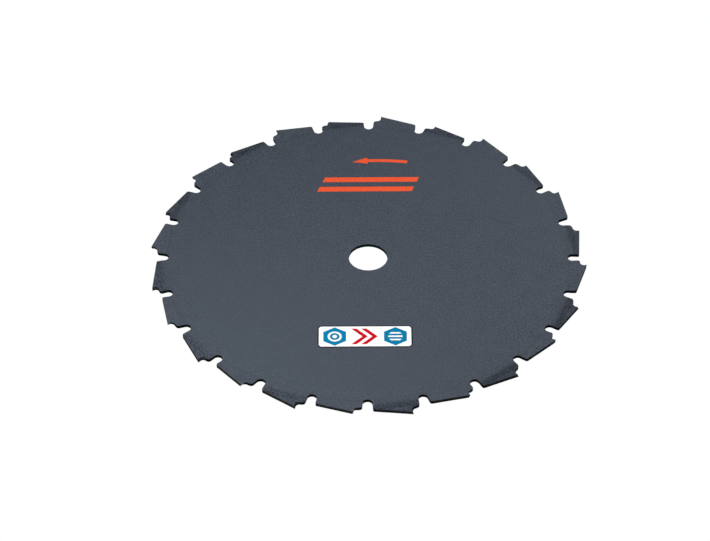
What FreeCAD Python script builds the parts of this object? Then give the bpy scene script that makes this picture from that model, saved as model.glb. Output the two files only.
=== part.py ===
import FreeCAD, Part
import math
import os

import Sketcher

os.makedirs("parts", exist_ok=True)

# Brush cutter blade: a flat round steel plate with chisel teeth cut into its rim and set to
# alternate sides. Z is the axis it turns on and z = 0 is the middle of the plate. Seen from
# above it turns anticlockwise. The first tooth's cutting corner lies on +X and is set up.
# Lengths are in millimetres and angles in degrees.

sizes = {
    "blade_diameter": 225.0,    # across the cutting corners
    "plate_thickness": 1.8,
    "bore_diameter": 20.0,
    "tooth_count": 24,          # even, because every second tooth is set down
    "relief_angle": 15.0,       # how far the land falls away behind the cutting corner
    "face_slant": 20.0,         # slant of the filed front face across the plate's thickness
    "file_radius": 2.0,         # round foot of the front face
    "notch_depth": 3.3,         # from the tip circle to the bottom of that round foot
    "shoulder_depth": 3.85,     # from the tip circle to the corner of the shoulder in front
    "shoulder_radius": 1.35,
    "gullet_lead": 3.42,        # how far the gullet's centre line lies in front of the tip
    "gullet_depth": 9.6,        # from the tip circle to the floor of the gullet
    "gullet_radius": 2.45,      # round floor of the gullet
    "gullet_draft": 4.5,        # how far each wall of the gullet leans outwards
    "heel_radius": 1.0,         # corner between the gullet and the land
    "fold_rise": 0.9,           # from the floor of the gullet out to the fold line
    "fold_lag": 2.0,            # how far the fold line's foot lies behind the tip
    "bend_radius": 9.0,         # inside of the bend at the fold line
    "set_angle": 7.2,           # slope of a tooth past its fold line
}

# The slack that the punched face leaves for the file, as a share of the file's radius.
stock_share = 0.15

doc = FreeCAD.newDocument("brush_cutter_blade")
sheet = doc.addObject("Spreadsheet::Sheet", "sizes")
for row, (alias, value) in enumerate(sizes.items(), start=1):
    sheet.set(f"A{row}", alias)
    sheet.set(f"B{row}", str(value))
    sheet.setAlias(f"B{row}", alias)
doc.recompute()

# Lengths and angles that follow from the driving ones, as expressions on the sheet.
tip_radius = "(sizes.blade_diameter / 2)"
pitch = "(360 / sizes.tooth_count)"
half_thickness = "(sizes.plate_thickness / 2)"
floor_radius = f"({tip_radius} - sizes.gullet_depth)"
fold_distance = f"({floor_radius} + sizes.fold_rise)"
core_radius = f"(({floor_radius} + {fold_distance}) / 2)"
root_distance = f"({fold_distance} * cos({pitch}))"
outer_radius = f"({tip_radius} + sizes.gullet_depth / 2)"
gullet_distance = f"({floor_radius} + sizes.gullet_radius)"
shoulder_distance = f"({tip_radius} - sizes.shoulder_depth)"
file_centre = f"({tip_radius} - sizes.notch_depth + sizes.file_radius)"
stock = f"({stock_share} * sizes.file_radius)"

half_count = "(sizes.tooth_count / 2)"
length_ahead = f"({fold_distance} * tan(sizes.gullet_lead + sizes.fold_lag))"
length_behind = f"({fold_distance} * tan({pitch} - sizes.gullet_lead - sizes.fold_lag))"

# The tangent length of the bend, measured on the middle of the plate, and the height that a
# set tooth's outer surface reaches at its cutting corner.
bend_run = f"((sizes.bend_radius + {half_thickness}) * tan(sizes.set_angle / 2))"
tip_reach = f"({tip_radius} * cos(sizes.fold_lag) - {fold_distance} - {bend_run})"
tip_height = f"({tip_reach} * tan(sizes.set_angle) + {half_thickness} / cos(sizes.set_angle))"


def number(expression):
    """The value that an expression on the sheet has now."""
    return float(sheet.evalExpression(expression))


def polar(radius, angle):
    """A sketch point at a radius and an angle from the sketch's X axis."""
    turn = math.radians(angle)
    return FreeCAD.Vector(radius * math.cos(turn), radius * math.sin(turn), 0)


def origin_part(body, role):
    """The plane or axis of the body's own origin that has this role."""
    return next(part for part in body.Origin.OriginFeatures if part.Role == role)


def new_sketch(body, name, role):
    sketch = body.newObject("Sketcher::SketchObject", name)
    sketch.AttachmentSupport = (origin_part(body, role), [""])
    sketch.MapMode = "FlatFace"
    return sketch


def join(sketch, kind, *places):
    """Adds a constraint that has no size."""
    sketch.addConstraint(Sketcher.Constraint(kind, *places))


def measure(sketch, name, expression, kind, *places):
    """Adds a named size and binds it to an expression on the sheet."""
    value = number(expression)
    if kind == "Angle":
        value = math.radians(value)
    index = sketch.addConstraint(Sketcher.Constraint(kind, *places, value))
    sketch.renameConstraint(index, name)
    sketch.setExpression(f"Constraints.{name}", expression)


def finished(feature):
    """Recomputes and hands the feature back, with its solid's volume printed."""
    doc.recompute()
    print(f"{feature.Name}: {feature.Shape.Volume:.1f} mm3")
    return feature


def around_axis(body, feature, count):
    """Repeats a feature round the blade's axis."""
    pattern = body.newObject("PartDesign::PolarPattern", f"{feature.Name}_round")
    pattern.Originals = [feature]
    pattern.Axis = (origin_part(body, "Z_Axis"), [""])
    pattern.Angle = 360
    pattern.setExpression("Occurrences", count)
    body.Tip = pattern
    return finished(pattern)


def through_cut(body, name, sketch):
    """Cuts a sketch's area away on both sides of its plane, and checks that it cut."""
    before = body.Tip.Shape.Volume
    cut = body.newObject("PartDesign::Pocket", name)
    cut.Profile = sketch
    cut.SideType = "Two sides"
    cut.Type = "ThroughAll"
    cut.Type2 = "ThroughAll"
    finished(cut)
    if cut.Shape.Volume >= before:
        raise RuntimeError(f"{name} cuts nothing")
    return cut


# Numbers of the points of an edge in a sketch, and of the sketch's origin and X axis.
START, END, CENTRE = range(1, 4)
ORIGIN = (-1, START)
X_AXIS = -1
FLAT = FreeCAD.Vector(0, 0, 1)


def arc_between(centre, start, end):
    """An arc about a centre, anticlockwise from the bearing of one point to that of another."""
    radius = (end - centre).Length
    turns = [math.atan2(point.y - centre.y, point.x - centre.x) for point in (start, end)]
    return Part.ArcOfCircle(Part.Circle(centre, FLAT, radius), *turns)


def add_corner(sketch, name, edge, point):
    """Rounds the corner at an edge's end, to the radius of the same name on the sheet."""
    arc = sketch.GeometryCount
    sketch.fillet(edge, point, number(f"sizes.{name}"), True, True)
    measure(sketch, name, f"sizes.{name}", "Radius", arc)


# The core: the round middle of the plate, which ends between the gullets and the fold lines.
def add_core(body):
    sketch = new_sketch(body, "core_outline", "XY_Plane")
    edge = sketch.addGeometry(Part.Circle(FreeCAD.Vector(), FLAT, number(core_radius)))
    join(sketch, "Coincident", edge, CENTRE, *ORIGIN)
    measure(sketch, "core_radius", core_radius, "Radius", edge)
    pad = body.newObject("PartDesign::Pad", "core")
    pad.Profile = sketch
    pad.SideType = "Symmetric"
    pad.setExpression("Length", "sizes.plate_thickness")
    finished(pad)


# A set tooth seen from its side: flat up to the fold line, a short bend upwards, then straight
# at the set angle until past the tip. The sketch's X axis runs outwards along the plate's
# middle, turned about the blade's axis to the fold line's foot. Flipped over about that X axis,
# the same sketch is a tooth set down.
def add_side_view(body, name, turn, flip):
    sketch = new_sketch(body, name, "XZ_Plane")
    sketch.AttachmentOffset = FreeCAD.Placement(FreeCAD.Vector(), FreeCAD.Rotation(0, 0, flip))
    sketch.setExpression("AttachmentOffset.Rotation.Pitch", turn)
    half = number(half_thickness)
    slope = math.radians(number("sizes.set_angle"))
    reach = number(tip_radius) + half
    bend = FreeCAD.Vector(number(fold_distance), half + number("sizes.bend_radius"), 0)
    along = FreeCAD.Vector(math.cos(slope), math.sin(slope), 0)
    ends = []
    for height in (half, -half):
        radius = bend.y - height
        root = FreeCAD.Vector(number(root_distance), height, 0)
        fold = FreeCAD.Vector(bend.x, height, 0)
        bent = bend + FreeCAD.Vector(along.y, -along.x, 0) * radius
        tip = bent + along * ((reach - bent.x) / along.x)
        turns = (-math.pi / 2, slope - math.pi / 2)
        flat = sketch.addGeometry(Part.LineSegment(root, fold))
        arc = sketch.addGeometry(Part.ArcOfCircle(Part.Circle(bend, FLAT, radius), *turns))
        slant = sketch.addGeometry(Part.LineSegment(bent, tip))
        join(sketch, "Horizontal", flat)
        join(sketch, "Tangent", flat, END, arc, START)
        join(sketch, "Tangent", arc, END, slant, START)
        ends.append((flat, arc, slant, root, tip))
    (flat, arc, slant, root, tip), (lower_flat, lower_arc, lower_slant, lower_root, lower_tip) = ends
    root_end = sketch.addGeometry(Part.LineSegment(root, lower_root))
    tip_end = sketch.addGeometry(Part.LineSegment(tip, lower_tip))
    join(sketch, "Coincident", flat, START, root_end, START)
    join(sketch, "Coincident", lower_flat, START, root_end, END)
    join(sketch, "Coincident", slant, END, tip_end, START)
    join(sketch, "Coincident", lower_slant, END, tip_end, END)
    join(sketch, "Coincident", arc, CENTRE, lower_arc, CENTRE)
    join(sketch, "Parallel", slant, lower_slant)
    join(sketch, "Perpendicular", slant, tip_end)
    join(sketch, "Symmetric", root_end, START, root_end, END, X_AXIS)
    measure(sketch, "thickness", "sizes.plate_thickness", "Distance", root_end)
    measure(sketch, "bend_radius", "sizes.bend_radius", "Radius", arc)
    measure(sketch, "set_angle", "sizes.set_angle", "Angle", flat, slant)
    measure(sketch, "root_distance", root_distance, "DistanceX", *ORIGIN, flat, START)
    measure(sketch, "fold_distance", fold_distance, "DistanceX", *ORIGIN, flat, END)
    measure(sketch, "reach", f"{tip_radius} + {half_thickness}", "DistanceX", *ORIGIN, slant, END)
    return sketch


# The uncut set teeth of one side, each as wide as from one gullet's centre line to the next.
def add_set_teeth(body, name, side_view, lengths):
    pad = body.newObject("PartDesign::Pad", name)
    pad.Profile = side_view
    pad.SideType = "Two sides"
    pad.setExpression("Length", lengths[0])
    pad.setExpression("Length2", lengths[1])
    finished(pad)
    around_axis(body, pad, half_count)


# The gap between two teeth, seen from above: down the front face of the tooth behind, round its
# foot, out to the shoulder, round the gullet, then along the land of the tooth ahead past its
# tip. The sketch's X axis runs through the cutting corner of the tooth behind, and the face
# stands a little in front of that axis, where the file has yet to cut.
def add_gap_outline(body):
    sketch = new_sketch(body, "gap_outline", "XY_Plane")
    radius = number(tip_radius)
    outer = number(outer_radius)
    lead = number("sizes.gullet_lead")
    draft = number("sizes.gullet_draft")
    relief = number("sizes.relief_angle")
    face_y = number(stock)
    foot_radius = number("sizes.file_radius")
    foot = FreeCAD.Vector(number(file_centre), face_y + foot_radius, 0)
    face_top = FreeCAD.Vector(math.sqrt(outer ** 2 - face_y ** 2), face_y, 0)
    face_foot = FreeCAD.Vector(foot.x, face_y, 0)

    gullet_radius = number("sizes.gullet_radius")
    gullet = polar(number(floor_radius) + gullet_radius, lead)
    front_foot = gullet + polar(gullet_radius, lead - draft - 90)
    back_foot = gullet + polar(gullet_radius, lead + draft + 90)
    front_way = polar(1, lead - draft)
    back_way = polar(1, lead + draft)
    shoulder_x = radius - number("sizes.shoulder_depth")
    shoulder = front_foot + front_way * ((shoulder_x - front_foot.x) / front_way.x)
    to_foot = foot - shoulder
    swing = math.asin(foot_radius / to_foot.Length)
    turn = math.degrees(math.atan2(to_foot.y, to_foot.x) - swing)
    shoulder_end = shoulder + polar(to_foot.Length * math.cos(swing), turn)

    tip = polar(radius, number(pitch))
    land_way = polar(1, number(pitch) + 90 - relief)
    rise = radius * math.sin(math.radians(relief))
    land_end = tip + land_way * (math.sqrt(rise ** 2 + outer ** 2 - radius ** 2) - rise)
    across = FreeCAD.Vector(-land_way.y, land_way.x, 0)
    heel = back_foot + back_way * ((tip - back_foot).dot(across) / back_way.dot(across))

    face = sketch.addGeometry(Part.LineSegment(face_top, face_foot))
    foot_arc = sketch.addGeometry(arc_between(foot, shoulder_end, face_foot))
    edge = sketch.addGeometry(Part.LineSegment(shoulder, shoulder_end))
    front_wall = sketch.addGeometry(Part.LineSegment(front_foot, shoulder))
    gullet_arc = sketch.addGeometry(arc_between(gullet, back_foot, front_foot))
    back_wall = sketch.addGeometry(Part.LineSegment(back_foot, heel))
    land = sketch.addGeometry(Part.LineSegment(heel, land_end))
    outer_arc = sketch.addGeometry(arc_between(FreeCAD.Vector(), face_top, land_end))
    centre_line = sketch.addGeometry(Part.LineSegment(FreeCAD.Vector(), gullet), True)
    tip_line = sketch.addGeometry(Part.LineSegment(FreeCAD.Vector(), tip), True)

    join(sketch, "Horizontal", face)
    join(sketch, "Tangent", face, END, foot_arc, END)
    join(sketch, "Tangent", foot_arc, START, edge, END)
    join(sketch, "Coincident", edge, START, front_wall, END)
    join(sketch, "Tangent", front_wall, START, gullet_arc, END)
    join(sketch, "Tangent", gullet_arc, START, back_wall, START)
    join(sketch, "Coincident", back_wall, END, land, START)
    join(sketch, "Coincident", land, END, outer_arc, END)
    join(sketch, "Coincident", outer_arc, START, face, START)
    join(sketch, "Coincident", outer_arc, CENTRE, *ORIGIN)
    join(sketch, "Coincident", centre_line, START, *ORIGIN)
    join(sketch, "Coincident", centre_line, END, gullet_arc, CENTRE)
    join(sketch, "Coincident", tip_line, START, *ORIGIN)
    join(sketch, "PointOnObject", tip_line, END, land)
    measure(sketch, "stock", stock, "DistanceY", *ORIGIN, face, START)
    measure(sketch, "file_centre", file_centre, "DistanceX", *ORIGIN, foot_arc, CENTRE)
    measure(sketch, "file_radius", "sizes.file_radius", "Radius", foot_arc)
    measure(sketch, "shoulder_distance", shoulder_distance, "DistanceX", *ORIGIN, edge, START)
    measure(sketch, "gullet_radius", "sizes.gullet_radius", "Radius", gullet_arc)
    measure(sketch, "gullet_lead", "sizes.gullet_lead", "Angle", X_AXIS, centre_line)
    measure(sketch, "gullet_distance", gullet_distance, "Distance", centre_line)
    measure(sketch, "front_draft", "sizes.gullet_draft", "Angle", front_wall, centre_line)
    measure(sketch, "back_draft", "sizes.gullet_draft", "Angle", centre_line, back_wall)
    measure(sketch, "pitch", pitch, "Angle", X_AXIS, tip_line)
    measure(sketch, "tip_radius", tip_radius, "Distance", tip_line)
    measure(sketch, "land_angle", "90 - sizes.relief_angle", "Angle", tip_line, land)
    measure(sketch, "outer_radius", outer_radius, "Radius", outer_arc)
    add_corner(sketch, "shoulder_radius", edge, START)
    add_corner(sketch, "heel_radius", back_wall, END)
    return sketch


# The slot that the file leaves in front of a tooth, seen along the slanted file: its straight
# side is the tooth's front face and its round end the foot of that face. The sketch's X axis
# touches the cutting corner of the tooth, at the height that the set gives it.
def add_file_outline(body, name, height, slant, turn):
    sketch = new_sketch(body, name, "XY_Plane")
    sketch.setExpression("AttachmentOffset.Base.z", height)
    sketch.setExpression("AttachmentOffset.Rotation.Roll", slant)
    sketch.setExpression("AttachmentOffset.Rotation.Yaw", turn)
    size = number("sizes.file_radius")
    centre = FreeCAD.Vector(number(file_centre), size, 0)
    side = FreeCAD.Vector(0, size, 0)
    outer = FreeCAD.Vector(number(outer_radius), size, 0)
    face = sketch.addGeometry(Part.LineSegment(outer - side, centre - side))
    foot_arc = sketch.addGeometry(arc_between(centre, centre + side, centre - side))
    back = sketch.addGeometry(Part.LineSegment(centre + side, outer + side))
    end = sketch.addGeometry(Part.LineSegment(outer + side, outer - side))
    join(sketch, "PointOnObject", face, START, X_AXIS)
    join(sketch, "PointOnObject", face, END, X_AXIS)
    join(sketch, "Tangent", face, END, foot_arc, END)
    join(sketch, "Tangent", foot_arc, START, back, START)
    join(sketch, "Horizontal", back)
    join(sketch, "Coincident", back, END, end, START)
    join(sketch, "Coincident", end, END, face, START)
    join(sketch, "Vertical", end)
    measure(sketch, "file_radius", "sizes.file_radius", "Radius", foot_arc)
    measure(sketch, "file_centre", file_centre, "DistanceX", *ORIGIN, foot_arc, CENTRE)
    measure(sketch, "outer_radius", outer_radius, "DistanceX", *ORIGIN, face, START)
    return sketch


def add_bore(body):
    sketch = new_sketch(body, "bore_outline", "XY_Plane")
    radius = number("sizes.bore_diameter") / 2
    edge = sketch.addGeometry(Part.Circle(FreeCAD.Vector(), FLAT, radius))
    join(sketch, "Coincident", edge, CENTRE, *ORIGIN)
    measure(sketch, "bore_diameter", "sizes.bore_diameter", "Diameter", edge)
    through_cut(body, "bore", sketch)


blade = doc.addObject("PartDesign::Body", "blade")
blade.Label = "blade"
add_core(blade)
up_view = add_side_view(blade, "side_of_tooth_set_up", "-sizes.fold_lag", 0)
add_set_teeth(blade, "tooth_set_up", up_view, (length_behind, length_ahead))
down_view = add_side_view(blade, "side_of_tooth_set_down", f"{pitch} - sizes.fold_lag", 180)
add_set_teeth(blade, "tooth_set_down", down_view, (length_ahead, length_behind))
around_axis(blade, through_cut(blade, "gap", add_gap_outline(blade)), "sizes.tooth_count")
up_file = add_file_outline(blade, "file_outline_up", tip_height, "-sizes.face_slant", "0")
around_axis(blade, through_cut(blade, "face_set_up", up_file), half_count)
down_file = add_file_outline(blade, "file_outline_down", f"-{tip_height}", "sizes.face_slant", pitch)
around_axis(blade, through_cut(blade, "face_set_down", down_file), half_count)
add_bore(blade)

# Every feature has to be sound, every sketch fully constrained and the blade one solid, before
# anything is written.
for item in doc.Objects:
    if "Invalid" in item.State or "Error" in item.State:
        raise RuntimeError(f"{item.Name} is in the state {item.State}")
    if item.TypeId == "Sketcher::SketchObject" and (item.solve() or not item.FullyConstrained):
        raise RuntimeError(f"{item.Name} is not fully constrained")
shape = blade.Shape
if shape.isNull() or not shape.isValid() or len(shape.Solids) != 1:
    raise RuntimeError("the blade is not one valid solid")

blade.Shape.exportStep("parts/blade.step")
box = shape.optimalBoundingBox()
print(f"blade: {box.XLength:.2f} x {box.YLength:.2f} x {box.ZLength:.2f} mm, {shape.Volume:.1f} mm3")
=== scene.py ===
import math

import bmesh
import bpy
import numpy as np
from mathutils import Matrix, Vector


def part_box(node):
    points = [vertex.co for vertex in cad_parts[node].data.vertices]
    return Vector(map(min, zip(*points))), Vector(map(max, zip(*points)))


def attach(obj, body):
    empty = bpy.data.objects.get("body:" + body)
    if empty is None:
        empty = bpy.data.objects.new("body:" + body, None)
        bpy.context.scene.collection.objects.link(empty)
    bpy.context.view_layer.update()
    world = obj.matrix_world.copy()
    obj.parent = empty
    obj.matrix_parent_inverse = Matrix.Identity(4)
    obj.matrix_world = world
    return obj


# Dresses a brush cutter blade: slate paint over the whole plate, punched and ground edges darkened
# with painted shade, an orange rotation arrow and stripes, and a white label with plain blue and red
# shapes.
# Lengths in the dictionaries are in millimetres and angles in degrees.

mm = 0.001
degree = math.pi / 180
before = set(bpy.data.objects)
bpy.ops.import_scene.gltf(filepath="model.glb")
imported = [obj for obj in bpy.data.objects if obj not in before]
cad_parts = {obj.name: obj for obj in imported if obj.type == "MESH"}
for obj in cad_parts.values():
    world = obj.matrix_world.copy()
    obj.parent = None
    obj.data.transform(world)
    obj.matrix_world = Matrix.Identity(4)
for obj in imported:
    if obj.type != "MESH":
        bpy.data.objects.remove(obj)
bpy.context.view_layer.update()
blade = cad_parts["blade"]
print("frame loaded")


# Small helpers for node trees: a value that is a socket gets a link, any other is set.

def addNode(tree, kind, values=None, **settings):
    node = tree.nodes.new(kind)
    for name, setting in settings.items():
        setattr(node, name, setting)
    for key, value in (values or {}).items():
        if isinstance(value, bpy.types.NodeSocket):
            tree.links.new(value, node.inputs[key])
        else:
            node.inputs[key].default_value = value
    return node


def calc(tree, operation, *values):
    node = addNode(tree, "ShaderNodeMath", dict(enumerate(values)), operation=operation)
    return node.outputs[0]


def fade(tree, value, low, high, start=0.0, end=1.0):
    # eases from start to end while the value goes from low to high
    node = addNode(tree, "ShaderNodeMapRange", {"Value": value, "From Min": low, "From Max": high,
                                                "To Min": start, "To Max": end},
                   interpolation_type="SMOOTHSTEP")
    return node.outputs["Result"]


def blend(tree, share, first, second, mode="MIX"):
    node = addNode(tree, "ShaderNodeMix", {"Factor": share}, data_type="RGBA", blend_type=mode)
    for socket, colour in zip(node.inputs[6:8], (first, second)):
        if isinstance(colour, bpy.types.NodeSocket):
            tree.links.new(colour, socket)
        else:
            socket.default_value = (*colour, 1.0)
    return node.outputs[2]


def newGroup(name, inputs, outputs):
    group = bpy.data.node_groups.new(name, "ShaderNodeTree")
    for kind, label in inputs:
        group.interface.new_socket(label, in_out="INPUT", socket_type=kind)
    for kind, label in outputs:
        group.interface.new_socket(label, in_out="OUTPUT", socket_type=kind)
    entry = group.nodes.new("NodeGroupInput")
    leave = group.nodes.new("NodeGroupOutput")
    return group, entry, leave


def useGroup(tree, group, values):
    return addNode(tree, "ShaderNodeGroup", values, node_tree=group)


def newMaterial(name, settings):
    material = bpy.data.materials.new(name)
    material.use_nodes = True
    tree = material.node_tree
    shader = tree.nodes["Principled BSDF"]
    shader.inputs["Specular IOR Level"].default_value = settings["specular"]
    shader.inputs["Roughness"].default_value = settings["roughness"]
    point = addNode(tree, "ShaderNodeTexCoord").outputs["Object"]
    return material, tree, shader, point


# The fine mottled grain of the sprayed paint, which the prints on it share. Its shade swings
# about 1, is never under 0 and multiplies a colour; its normal comes from the fine noise alone.
grainNoise = {
    "size": 0.95,
    "fine": (1.0, 3.0, 0.55),     # scale in grains, detail and roughness
    "cloud": (0.1, 2.0, 0.9),
    "cloudShare": 0.18,
    "middle": 0.59,               # mean of the fine noise and the cloud's share together
}


def makeGrain(settings):
    group, entry, leave = newGroup(
        "paintGrain",
        [("NodeSocketVector", "Point"), ("NodeSocketFloat", "Size"),
         ("NodeSocketFloat", "Swing"), ("NodeSocketFloat", "Relief")],
        [("NodeSocketFloat", "Shade"), ("NodeSocketVector", "Normal")])
    perGrain = calc(group, "DIVIDE", 1 / mm, entry.outputs["Size"])
    place = addNode(group, "ShaderNodeVectorMath", {0: entry.outputs["Point"], 3: perGrain},
                    operation="SCALE").outputs[0]

    def noise(scale, detail, roughness):
        values = {"Vector": place, "Scale": scale, "Detail": detail, "Roughness": roughness}
        return addNode(group, "ShaderNodeTexNoise", values).outputs["Fac"]

    fine = noise(*settings["fine"])
    cloud = noise(*settings["cloud"])
    both = calc(group, "ADD", fine, calc(group, "MULTIPLY", cloud, settings["cloudShare"]))
    both = calc(group, "SUBTRACT", both, settings["middle"])
    swing = calc(group, "MULTIPLY", both, entry.outputs["Swing"])
    relief = calc(group, "MULTIPLY", entry.outputs["Relief"], mm)
    bump = addNode(group, "ShaderNodeBump", {"Height": fine, "Strength": 1.0, "Distance": relief})
    shade = calc(group, "MAXIMUM", calc(group, "ADD", swing, 1.0), 0.0)
    group.links.new(shade, leave.inputs["Shade"])
    group.links.new(bump.outputs["Normal"], leave.inputs["Normal"])
    return group


grain = makeGrain(grainNoise)


def coat(tree, shader, point, colour, swing, relief):
    # gives the shader the colour with the paint's grain on it
    node = useGroup(tree, grain, {"Point": point, "Size": grainNoise["size"], "Swing": swing,
                                  "Relief": relief})
    colour = blend(tree, 1.0, colour, node.outputs["Shade"], "MULTIPLY")
    tree.links.new(colour, shader.inputs["Base Color"])
    tree.links.new(node.outputs["Normal"], shader.inputs["Normal"])


# Where a point of the blade lies on its tooth. Each tooth has a straight fold line, square to
# the line through the foot of the fold. Across is the distance from the axis along that line.
# Height is measured from the middle of the plate, which slopes past the fold. Pressed is 1 on
# the side that a tooth was set away from. Turn is the bearing from the X axis.
teeth = {
    "pitch": 15.0,
    "gulletLead": 3.42,     # from a cutting corner forwards to the gullet's centre line
    "foldLag": 2.0,         # from a cutting corner back to the foot of its fold
    "slopeStart": 104.4,    # where the middle of the bend lies
    "slope": 0.1263,        # tangent of the set angle
}


def makeToothPlace(settings):
    group, entry, leave = newGroup(
        "toothPlace",
        [("NodeSocketVector", "Point"), ("NodeSocketVector", "Facing")],
        [("NodeSocketFloat", name) for name in ("Radius", "Turn", "Across", "Height", "Pressed")])
    spot = addNode(group, "ShaderNodeSeparateXYZ", {0: entry.outputs["Point"]})
    x, y, z = [calc(group, "DIVIDE", spot.outputs[index], mm) for index in range(3)]
    facing = addNode(group, "ShaderNodeSeparateXYZ", {0: entry.outputs["Facing"]}).outputs[2]
    squares = [calc(group, "MULTIPLY", way, way) for way in (x, y)]
    radius = calc(group, "SQRT", calc(group, "ADD", *squares))
    turn = calc(group, "DIVIDE", calc(group, "ARCTAN2", y, x), degree)
    pitch = settings["pitch"]
    lead = settings["gulletLead"]
    wholeTurn = 360.0       # keeps the bearing over 0
    fromGullet = calc(group, "ADD", turn, wholeTurn - lead)
    tooth = calc(group, "FLOOR", calc(group, "DIVIDE", fromGullet, pitch))
    inTooth = calc(group, "SUBTRACT", fromGullet, calc(group, "MULTIPLY", tooth, pitch))
    offFoot = calc(group, "SUBTRACT", inTooth, pitch - lead - settings["foldLag"])
    cosine = calc(group, "COSINE", calc(group, "MULTIPLY", offFoot, degree))
    across = calc(group, "MULTIPLY", radius, cosine)
    setDown = calc(group, "ABSOLUTE", calc(group, "SUBTRACT", 1.0, calc(group, "MODULO", tooth, 2.0)))
    pastFold = calc(group, "MAXIMUM", calc(group, "SUBTRACT", across, settings["slopeStart"]), 0.0)
    rise = calc(group, "MULTIPLY", pastFold, settings["slope"])
    side = calc(group, "SUBTRACT", 1.0, calc(group, "MULTIPLY", setDown, 2.0))
    height = calc(group, "SUBTRACT", z, calc(group, "MULTIPLY", rise, side))
    above = calc(group, "GREATER_THAN", facing, 0.0)
    tolerance = 0.5         # above and setDown are 0 or 1
    pressed = calc(group, "COMPARE", above, setDown, tolerance)
    for name, value in {"Radius": radius, "Turn": turn, "Across": across, "Height": height,
                        "Pressed": pressed}.items():
        group.links.new(value, leave.inputs[name])
    return group


toothPlace = makeToothPlace(teeth)


# The blade's paint. The faces are slate. The side that a tooth was set towards has a faint line of
# painted shade along the fold. The side that it was set away from has a soft dark band, a press mark
# with a faint painted shade ahead of it and a thin line of painted shade along a crease in it; band and
# crease are deeper on some teeth than on others as painted light and sheen, and the band has a finer
# grain of its own. Walls are darker as painted shade: the bore's a deep blue green that stands in for
# light from the front, punched ones nearly black, ground lands and filed faces dark olive, and each
# wall eases back to slate towards its edges. The places of line, band and crease are distances across a
# tooth.
bladePaint = {
    "slate": (0.0568, 0.0693, 0.0893),
    "foldPlace": (103.1, 103.6, 103.8, 104.5),  # where it starts, is full, fades and ends
    "foldShadeDepth": 0.097,     # share of the paint's lightness that the line takes
    "bandPlace": (104.0, 106.6, 108.0, 109.3),
    "bandEnd": 0.68,        # share of the band that stays past its end
    "bandLeadShade": (99.5, 103.5, 0.13),            # a faint share of it comes before the fold
    "bandColour": (0.0, 0.0, 0.008),
    "bandDepth": 0.37,      # a mean over all teeth
    "bandLightSwing": (0.124, 177.3, 0.091, 47.7),   # once and twice round: size and lightest bearing
    "creasePlace": 108.0,
    "creaseHalf": 0.4,
    "creaseShadeDepth": 0.06,
    "creaseLightSwing": (0.17, 238.0),               # once round: size and darkest bearing
    "bore": (0.002, 0.010, 0.015),
    "punched": (0.0025, 0.0040, 0.0045),
    "groundShade": (0.026, 0.030, 0.030),
    "rim": (0.055, 0.066, 0.082),
    "wallFacing": (0.6, 0.8),     # how upright a face's normal is on a wall and on a painted face
    "punchedPlace": (20.0, 30.0),       # radii that part the bore's wall from the punched ones
    "groundPlace": (109.0, 109.4),      # radii between which punched walls become ground ones
    "rimPlace": (0.6, 0.8),       # heights between which a wall lightens towards its edge
    "rimShare": 0.6,
    "grainSwing": (1.55, 0.80),   # along a straight strip across the plate, and far from it
    "stripBearing": 56.0,         # the way from the axis to the strip's middle line, and how far
    "stripPlace": 22.9,
    "stripReach": (20.5, 79.3),   # distances from that line over which the grain weakens
    "rimSwing": (90.0, 98.0, 0.0, 0.45),        # two radii, and the extra swing at each of them
    "grainRelief": 0.02,
    "bandGrainSize": 0.65,        # the dark bands have a finer and stronger grain on top
    "bandGrainSwing": 4.0,
    "roughness": 0.55,
    "specular": 0.12,
}


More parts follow.
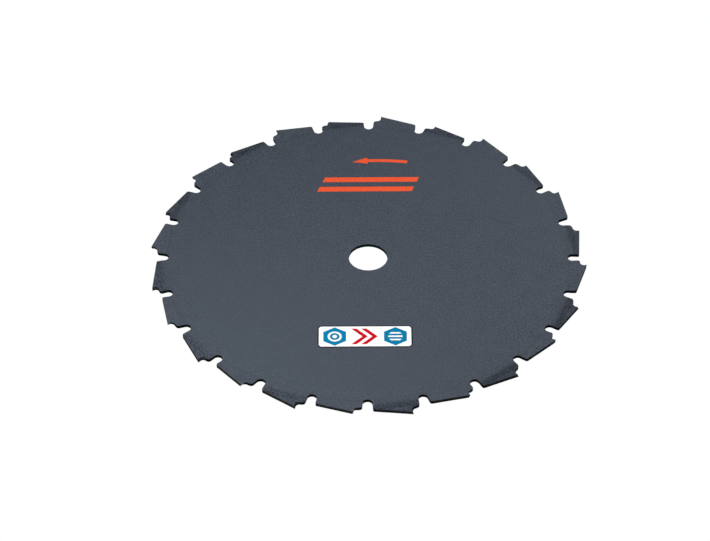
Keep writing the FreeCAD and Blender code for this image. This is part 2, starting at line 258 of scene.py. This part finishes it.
def makeBladePaint(settings):
    material, tree, shader, point = newMaterial("bladePaint", settings)
    facing = addNode(tree, "ShaderNodeTexCoord").outputs["Normal"]
    place = useGroup(tree, toothPlace, {"Point": point, "Facing": facing})
    across, height, pressed = [place.outputs[name] for name in ("Across", "Height", "Pressed")]
    upright = calc(tree, "ABSOLUTE", addNode(tree, "ShaderNodeSeparateXYZ", {0: facing}).outputs[2])

    def swing(size, bearing, times):
        # size times the cosine of the turn from the bearing, taken once or twice
        offBearing = calc(tree, "SUBTRACT", place.outputs["Turn"], bearing)
        way = calc(tree, "MULTIPLY", offBearing, times * degree)
        return calc(tree, "MULTIPLY", calc(tree, "COSINE", way), size)

    # painted shade: a faint dark line where a tooth's face starts to bend, on the side it was set towards
    start, full, turnBack, end = settings["foldPlace"]
    foldShade = calc(tree, "MULTIPLY", fade(tree, across, start, full),
                fade(tree, across, turnBack, end, settings["foldShadeDepth"], 0.0))
    foldShade = calc(tree, "MULTIPLY", foldShade, calc(tree, "SUBTRACT", 1.0, pressed))

    # painted light and sheen: the band is lighter on some bearings, once and twice round the blade
    once, onceBearing, twice, twiceBearing = settings["bandLightSwing"]
    depth = calc(tree, "SUBTRACT", settings["bandDepth"], swing(once, onceBearing, 1))
    depth = calc(tree, "SUBTRACT", depth, swing(twice, twiceBearing, 2))
    start, full, turnBack, end = settings["bandPlace"]
    # painted shade: a faint share of the band's darkening starts before the fold
    leadStart, leadEnd, leadShare = settings["bandLeadShade"]
    band = calc(tree, "ADD", fade(tree, across, leadStart, leadEnd, 0.0, leadShare),
                fade(tree, across, start, full, 0.0, 1.0 - leadShare))
    band = calc(tree, "MULTIPLY", band, fade(tree, across, turnBack, end, 1.0, settings["bandEnd"]))
    bandGrainSwing = calc(tree, "MULTIPLY", band, settings["bandGrainSwing"])
    bandGrainSwing = calc(tree, "MULTIPLY", bandGrainSwing, pressed)
    # painted shade: a thin dark line along the crease, deeper on some bearings as painted light
    creaseSize, creaseBearing = settings["creaseLightSwing"]
    creaseShadeDepth = calc(tree, "MAXIMUM", 0.0,
                       calc(tree, "ADD", settings["creaseShadeDepth"], swing(creaseSize, creaseBearing, 1)))
    offCrease = calc(tree, "ABSOLUTE", calc(tree, "SUBTRACT", across, settings["creasePlace"]))
    creaseShade = fade(tree, offCrease, 0.0, settings["creaseHalf"], creaseShadeDepth, 0.0)
    band = calc(tree, "ADD", calc(tree, "MULTIPLY", band, depth), creaseShade)
    band = calc(tree, "MULTIPLY", band, pressed)
    paint = blend(tree, foldShade, settings["slate"], (0.0, 0.0, 0.0))
    paint = blend(tree, band, paint, settings["bandColour"])
    bandGrain = useGroup(tree, grain, {"Point": point, "Size": settings["bandGrainSize"],
                                       "Swing": bandGrainSwing, "Relief": 0.0})
    paint = blend(tree, 1.0, paint, bandGrain.outputs["Shade"], "MULTIPLY")

    # painted shade on the walls: nearly black, deep blue green in the bore as painted light from the
    # front, dark olive on ground lands, easing to slate at a wall's edges
    punchedMask = fade(tree, place.outputs["Radius"], *settings["punchedPlace"])
    groundMask = fade(tree, place.outputs["Radius"], *settings["groundPlace"])
    wallShade = blend(tree, punchedMask, settings["bore"], settings["punched"])
    wallShade = blend(tree, groundMask, wallShade, settings["groundShade"])
    rimMask = fade(tree, calc(tree, "ABSOLUTE", height), *settings["rimPlace"], 0.0, settings["rimShare"])
    wallShade = blend(tree, rimMask, wallShade, settings["rim"])

    bearing = settings["stripBearing"] * degree
    outwards = (math.cos(bearing), math.sin(bearing), 0.0)
    along = addNode(tree, "ShaderNodeVectorMath", {0: point, 1: outwards},
                    operation="DOT_PRODUCT").outputs["Value"]
    offStrip = calc(tree, "ABSOLUTE", calc(tree, "SUBTRACT", along, settings["stripPlace"] * mm))
    near, far = settings["stripReach"]
    grainSwing = calc(tree, "ADD", fade(tree, offStrip, near * mm, far * mm, *settings["grainSwing"]),
                      fade(tree, place.outputs["Radius"], *settings["rimSwing"]))
    # faces that stand upright take the walls' painted shade, the others the paint
    colour = blend(tree, fade(tree, upright, *settings["wallFacing"]), wallShade, paint)
    coat(tree, shader, point, colour, grainSwing, settings["grainRelief"])
    return material


blade.material_slots[0].material = makeBladePaint(bladePaint)
print("blade painted")


# New pieces are thin closed films on the upper face. A film is a grid of rings: each ring is
# the film's outline at one height, and the first and last rings shrink to the middle.

faceHeight = 0.9    # the plate's upper face
sink = 0.01         # how deep a film reaches into it
merge = 0.0005      # points nearer than this become one

# signs of a rectangle's corners, anticlockwise
corners = np.array([[1, 1], [-1, 1], [-1, -1], [1, -1]])


def addPiece(name, points):
    # points is a grid of rings by places round the ring; neighbours are joined by quads
    number = np.arange(points.shape[0] * points.shape[1]).reshape(points.shape[:2])
    ahead = np.roll(number, -1, axis=1)
    quads = np.stack([number[:-1], ahead[:-1], ahead[1:], number[1:]], axis=-1).reshape(-1, 4)
    mesh = bpy.data.meshes.new(name)
    mesh.from_pydata((points.reshape(-1, 3) * mm).tolist(), [], quads.tolist())
    work = bmesh.new()
    work.from_mesh(mesh)
    bmesh.ops.remove_doubles(work, verts=work.verts, dist=merge * mm)
    bmesh.ops.recalc_face_normals(work, faces=work.faces)
    work.to_mesh(mesh)
    work.free()
    piece = bpy.data.objects.new(name, mesh)
    bpy.context.scene.collection.objects.link(piece)
    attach(piece, "root")
    return piece


def turned(points, angle):
    # points in the plane, turned anticlockwise about the blade's axis
    way = math.radians(angle)
    matrix = np.array([[math.cos(way), math.sin(way)], [-math.sin(way), math.cos(way)]])
    return points @ matrix


def filmRings(outline, middle, low, high, softness):
    # outline(inset) gives the outline drawn in by inset; the rings go from the middle below,
    # round the edge and over its soft upper corner to the middle above
    halfway = math.radians(45)
    nick = softness * (1 - math.cos(halfway))
    steps = [(0.0, low), (0.0, high - softness), (nick, high - nick), (softness, high)]
    flats = np.stack([outline(inset) for inset, height in steps])
    closed = np.broadcast_to(middle, flats[:1].shape)
    flats = np.concatenate([closed, flats, closed])
    heights = np.array([low, *[height for inset, height in steps], high])
    heights = np.broadcast_to(heights[:, None, None], (*flats.shape[:2], 1))
    return np.concatenate([flats, heights], axis=-1)


# The label: a clear film with round corners, printed white except for a narrow margin, where the
# paint is darkened as a painted shadow along the film's edge. Its long side is turned a little from
# the X axis. It carries two plain blue hexagons, one with a white ring and dot and one with white
# bars, and two red chevrons between them.
label = {
    "length": 46.3,               # length, width and corner radius of the white
    "width": 14.3,
    "corner": 1.6,
    "margin": 0.65,
    "thickness": 0.08,
    "softness": 0.03,             # radius of its upper edge
    "place": (-1.96, -58.68),     # its middle, before the turn
    "turn": 3.98,
    "cornerSteps": 10,
    "edgeShadowColour": (0.012, 0.015, 0.019),
    "white": (0.89, 0.89, 0.885),
    "blue": (0.0005, 0.180, 0.345),
    "red": (0.53, 0.003, 0.013),
    "hexagons": (-15.2, 15.2),    # their middles along the label
    "hexagonHalf": 5.7,           # from the middle to a flat side
    "ring": 3.0,
    "ringHalf": 0.55,
    "dot": 1.15,
    "bars": 3.6,                  # the disc that the bars fill, their spacing and half a bar
    "barSpacing": 2.4,
    "barHalf": 0.55,
    "chevronSpacing": 5.0,
    "chevronHalf": 1.35,
    "chevronTall": 5.6,
    "printEdge": 0.05,            # half the width over which a printed shape fades out
    "grainSwing": 0.04,
    "grainRelief": 0.004,
    "roughness": 0.6,
    "specular": 0.05,
}


def labelOutline(settings, inset):
    # a rectangle with quarter circles at its corners: middle of each corner plus a radius
    # that turns by a quarter
    steps = np.linspace(0, math.pi / 2, settings["cornerSteps"])
    radius = settings["corner"] + settings["margin"] - inset
    reach = np.array([settings["length"], settings["width"]]) / 2 - settings["corner"]
    turns = steps + np.arange(4)[:, None] * math.pi / 2
    arcs = np.stack([np.cos(turns), np.sin(turns)], axis=-1) * radius + (corners * reach)[:, None, :]
    return turned(arcs.reshape(-1, 2) + settings["place"], settings["turn"])


def makeLabelFilm(settings, middle):
    material, tree, shader, point = newMaterial("labelFilm", settings)
    local = addNode(tree, "ShaderNodeMapping", {"Vector": point, "Location": (*(middle * mm), 0.0),
                                                "Rotation": (0.0, 0.0, math.radians(settings["turn"])),
                                                "Scale": (mm, mm, mm)}, vector_type="TEXTURE").outputs[0]
    spot = addNode(tree, "ShaderNodeSeparateXYZ", {0: local})
    x, y = spot.outputs[0], spot.outputs[1]

    def far(value, place):
        return calc(tree, "ABSOLUTE", calc(tree, "SUBTRACT", value, place))

    def inside(value, limit):
        # 1 under the limit and 0 over it
        return fade(tree, value, limit - settings["printEdge"], limit + settings["printEdge"], 1.0, 0.0)

    def both(first, second):
        return calc(tree, "MULTIPLY", first, second)

    def either(first, second):
        return calc(tree, "MAXIMUM", first, second)

    def length(first, second):
        return calc(tree, "SQRT", calc(tree, "ADD", both(first, first), both(second, second)))

    # a hexagon that stands on a corner: the largest of the distances square to its sides
    sides = [far(x, place) for place in settings["hexagons"]]
    tall = far(y, 0.0)
    slant = math.radians(30)
    tallPart = both(tall, math.cos(slant))
    slanted = [calc(tree, "ADD", both(side, math.sin(slant)), tallPart) for side in sides]
    spans = [either(*pair) for pair in zip(sides, slanted)]
    discs = [length(side, tall) for side in sides]
    blueMask = either(*[inside(span, settings["hexagonHalf"]) for span in spans])
    ring = inside(far(discs[0], settings["ring"]), settings["ringHalf"])
    barPlace = calc(tree, "PINGPONG", y, settings["barSpacing"] / 2)
    bars = both(inside(barPlace, settings["barHalf"]), inside(discs[1], settings["bars"]))
    whiteMask = either(either(ring, inside(discs[0], settings["dot"])), bars)
    blueMask = both(blueMask, calc(tree, "SUBTRACT", 1.0, whiteMask))

    # two chevrons that point along the label: bands where the distance behind a V is near zero
    vee = calc(tree, "ADD", x, tall)
    bands = either(*[inside(far(vee, place), settings["chevronHalf"])
                     for place in (0.0, settings["chevronSpacing"])])
    redMask = both(bands, inside(tall, settings["chevronTall"]))

    # the white ends a corner's radius away from the rectangle through the corners' middles
    past = [either(calc(tree, "SUBTRACT", away, settings[side] / 2 - settings["corner"]), 0.0)
            for away, side in ((far(x, 0.0), "length"), (tall, "width"))]
    reach = length(*past)

    # the margin's dark colour is a painted shadow along the film's edge
    colour = blend(tree, inside(reach, settings["corner"]), settings["edgeShadowColour"], settings["white"])
    colour = blend(tree, blueMask, colour, settings["blue"])
    colour = blend(tree, redMask, colour, settings["red"])
    coat(tree, shader, point, colour, settings["grainSwing"], settings["grainRelief"])
    return material


def makeLabel(settings):
    middle = turned(np.array([settings["place"]]), settings["turn"])[0]
    rings = filmRings(lambda inset: labelOutline(settings, inset), middle,
                      faceHeight - sink, faceHeight + settings["thickness"], settings["softness"])
    piece = addPiece("label", rings)
    piece.data.materials.append(makeLabelFilm(settings, middle))


makeLabel(label)
print("label on")


# The orange prints: a rotation arrow that curves round a centre of its own, and two plain
# stripes with slanted ends.
orangePrint = {
    "orange": (0.82, 0.088, 0.0225),
    "thickness": 0.03,
    "softness": 0.01,
    "roughness": 0.5,
    "specular": 0.25,
    "grainSwing": 0.9,
}

arrow = {
    "centre": (6.95, -27.9),
    "radius": 105.0,
    "tail": 84.95,          # bearings of its tail, its head's back edge and its tip
    "headBack": 96.6,
    "tip": 101.05,
    "shaftHalf": 1.12,
    "headHalf": 2.5,
    "tipDrop": 0.3,         # how far the tip lies inside the arrow's middle line
    "steps": 40,
}

stripes = {
    "place": (0.5, 57.3),
    "turn": 3.98,
    "length": 50.0,
    "width": 3.7,
    "spacing": 7.6,         # between the two middles
    "slant": 20.0,
}


def makeOrangePrint(settings):
    material, tree, shader, point = newMaterial("orangePrint", settings)
    coat(tree, shader, point, settings["orange"], settings["grainSwing"], bladePaint["grainRelief"])
    return material


def makeArrow(settings, material):
    # place = centre + (radius - drop + side * half width) in the direction of the bearing; the
    # half width is constant along the shaft and falls straight to nothing along the head, where
    # the drop grows
    shaft = np.linspace(settings["tail"], settings["headBack"], settings["steps"])
    head = np.linspace(settings["headBack"], settings["tip"], settings["steps"] // 2)
    bearing = np.radians(np.concatenate([shaft, head]))
    left = np.linspace(1.0, 0.0, len(head))
    half = np.concatenate([np.full(len(shaft), settings["shaftHalf"]), settings["headHalf"] * left])
    drop = np.concatenate([np.zeros(len(shaft)), settings["tipDrop"] * (1.0 - left)])
    side = np.array([-1.0, -1.0, 1.0, 1.0])
    height = faceHeight + np.array([-sink, orangePrint["thickness"], orangePrint["thickness"], -sink])
    reach = settings["radius"] - drop[:, None] + side * half[:, None]
    points = np.stack([settings["centre"][0] + reach * np.cos(bearing)[:, None],
                       settings["centre"][1] + reach * np.sin(bearing)[:, None],
                       np.broadcast_to(height, reach.shape)], axis=-1)
    # the tail is closed by one more section that shrinks to its middle
    tail = points[:1].mean(axis=1, keepdims=True)
    points = np.concatenate([np.broadcast_to(tail, points[:1].shape), points])
    piece = addPiece("rotation_arrow", points)
    piece.data.materials.append(material)


def makeStripe(settings, name, offset, material):
    # a parallelogram: its ends lean forwards by the slant
    half, tall = settings["length"] / 2, settings["width"] / 2
    lean = math.tan(math.radians(settings["slant"]))

    def outline(inset):
        flat = corners * (half - inset, tall - inset)
        flat[:, 1] += offset
        flat[:, 0] += flat[:, 1] * lean
        return turned(flat + settings["place"], settings["turn"])

    middle = outline(0.0).mean(axis=0)
    rings = filmRings(outline, middle, faceHeight - sink, faceHeight + orangePrint["thickness"],
                      orangePrint["softness"])
    piece = addPiece(name, rings)
    piece.data.materials.append(material)


orange = makeOrangePrint(orangePrint)
makeArrow(arrow, orange)
makeStripe(stripes, "stripe_upper", stripes["spacing"] / 2, orange)
makeStripe(stripes, "stripe_lower", -stripes["spacing"] / 2, orange)
print("prints on")


# The stage: a white floor just under the lowest tooth, a bright sky that fades to dark at the
# horizon, and two soft lamps near the blade, the stronger one in front of it on the left. From
# below, the floor is clear, and a third lamp far under it lights the blade's lower face.
stage = {
    "floorSide": 12000.0,
    "floorGap": 0.02,
    "white": 1.01,          # floor and backdrop as the camera sees them
    "bounce": 0.10,
    "sky": 0.52,
    "horizon": 0.04,
    "skyStart": 0.10,       # sines of the elevations between which the sky brightens
    "skyEnd": 0.65,
}

# bearing, elevation, distance, side and watts
lamps = {
    "frontLamp": (236.0, 54.5, 300.0, 200.0, 0.645),
    "backLamp": (38.0, 38.0, 300.0, 200.0, 0.275),
    "lowLamp": (80.0, -62.0, 1500.0, 500.0, 34.0),
}


def makeFloor(settings):
    half = settings["floorSide"] / 2
    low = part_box("blade")[0][2] / mm - settings["floorGap"]
    points = np.column_stack([corners * half, np.full(len(corners), low)])
    mesh = bpy.data.meshes.new("floor")
    mesh.from_pydata((points * mm).tolist(), [], [(0, 1, 2, 3)])
    floor = bpy.data.objects.new("floor", mesh)
    bpy.context.scene.collection.objects.link(floor)
    material = bpy.data.materials.new("floorWhite")
    material.use_nodes = True
    tree = material.node_tree
    matte = addNode(tree, "ShaderNodeBsdfDiffuse", {"Color": (*[settings["bounce"]] * 3, 1.0)})
    glow = addNode(tree, "ShaderNodeEmission", {"Strength": settings["white"]})
    clear = addNode(tree, "ShaderNodeBsdfTransparent")
    ray = addNode(tree, "ShaderNodeLightPath")
    below = addNode(tree, "ShaderNodeNewGeometry").outputs["Backfacing"]
    upper = addNode(tree, "ShaderNodeMixShader", {0: ray.outputs["Is Camera Ray"], 1: matte.outputs[0],
                                                  2: glow.outputs[0]})
    passing = calc(tree, "MAXIMUM", below, ray.outputs["Is Shadow Ray"])
    mixed = addNode(tree, "ShaderNodeMixShader", {0: passing, 1: upper.outputs[0], 2: clear.outputs[0]})
    tree.links.new(mixed.outputs[0], tree.nodes["Material Output"].inputs["Surface"])
    mesh.materials.append(material)


def makeSky(settings):
    world = bpy.data.worlds.new("studio")
    world.use_nodes = True
    bpy.context.scene.world = world
    tree = world.node_tree
    way = addNode(tree, "ShaderNodeTexCoord").outputs["Generated"]
    rise = addNode(tree, "ShaderNodeSeparateXYZ", {0: way}).outputs[2]
    glow = fade(tree, rise, settings["skyStart"], settings["skyEnd"],
                settings["horizon"], settings["sky"])
    seen = addNode(tree, "ShaderNodeLightPath").outputs["Is Camera Ray"]
    strength = addNode(tree, "ShaderNodeMix", {"Factor": seen, "A": glow, "B": settings["white"]})
    tree.links.new(strength.outputs["Result"], tree.nodes["Background"].inputs["Strength"])
    tree.nodes["Background"].inputs["Color"].default_value = (1.0, 1.0, 1.0, 1.0)


def makeLamp(name, bearing, elevation, distance, side, power):
    data = bpy.data.lights.new(name, "AREA")
    data.energy = power
    data.size = side * mm
    lamp = bpy.data.objects.new(name, data)
    way, lift = math.radians(bearing), math.radians(elevation)
    lamp.location = Vector((math.cos(way) * math.cos(lift), math.sin(way) * math.cos(lift),
                            math.sin(lift))) * distance * mm
    lamp.rotation_euler = (-lamp.location).to_track_quat("-Z", "Y").to_euler()
    lamp.visible_camera = False
    bpy.context.scene.collection.objects.link(lamp)


makeFloor(stage)
makeSky(stage)
for lampName, lampValues in lamps.items():
    makeLamp(lampName, *lampValues)
print("stage lit")


# The camera looks at the blade's middle from the front and above. Across and down say how far
# the middle lies from the centre of the picture, at the camera's distance.
camera = {
    "turn": 3.98,
    "elevation": 42.779,
    "roll": -0.314,
    "distance": 1426.2,
    "across": 6.776,
    "down": -6.196,
    "focalPixels": 2763.1,
    "pictureWidth": 710,
    "sensor": 36.0,
    "clipStart": 10.0,
}


def makeCamera(settings):
    turn = math.radians(settings["turn"])
    rise = math.radians(settings["elevation"])
    roll = math.radians(settings["roll"])
    back = Vector((math.sin(turn) * math.cos(rise), -math.cos(turn) * math.cos(rise), math.sin(rise)))
    level = Vector((math.cos(turn), math.sin(turn), 0.0))
    dive = (-back).cross(level)
    right = level * math.cos(roll) - dive * math.sin(roll)
    down = level * math.sin(roll) + dive * math.cos(roll)
    place = (back * settings["distance"] - right * settings["across"] - down * settings["down"]) * mm
    data = bpy.data.cameras.new("camera")
    data.sensor_width = settings["sensor"]
    data.lens = settings["focalPixels"] * settings["sensor"] / settings["pictureWidth"]
    data.clip_start = settings["clipStart"] * mm
    viewer = bpy.data.objects.new("camera", data)
    facing = Matrix((right, -down, back)).transposed().to_4x4()
    viewer.matrix_world = Matrix.Translation(place) @ facing
    bpy.context.scene.collection.objects.link(viewer)
    bpy.context.scene.camera = viewer


makeCamera(camera)
bpy.context.scene.view_settings.view_transform = "Standard"
bpy.context.view_layer.update()
print("camera set")
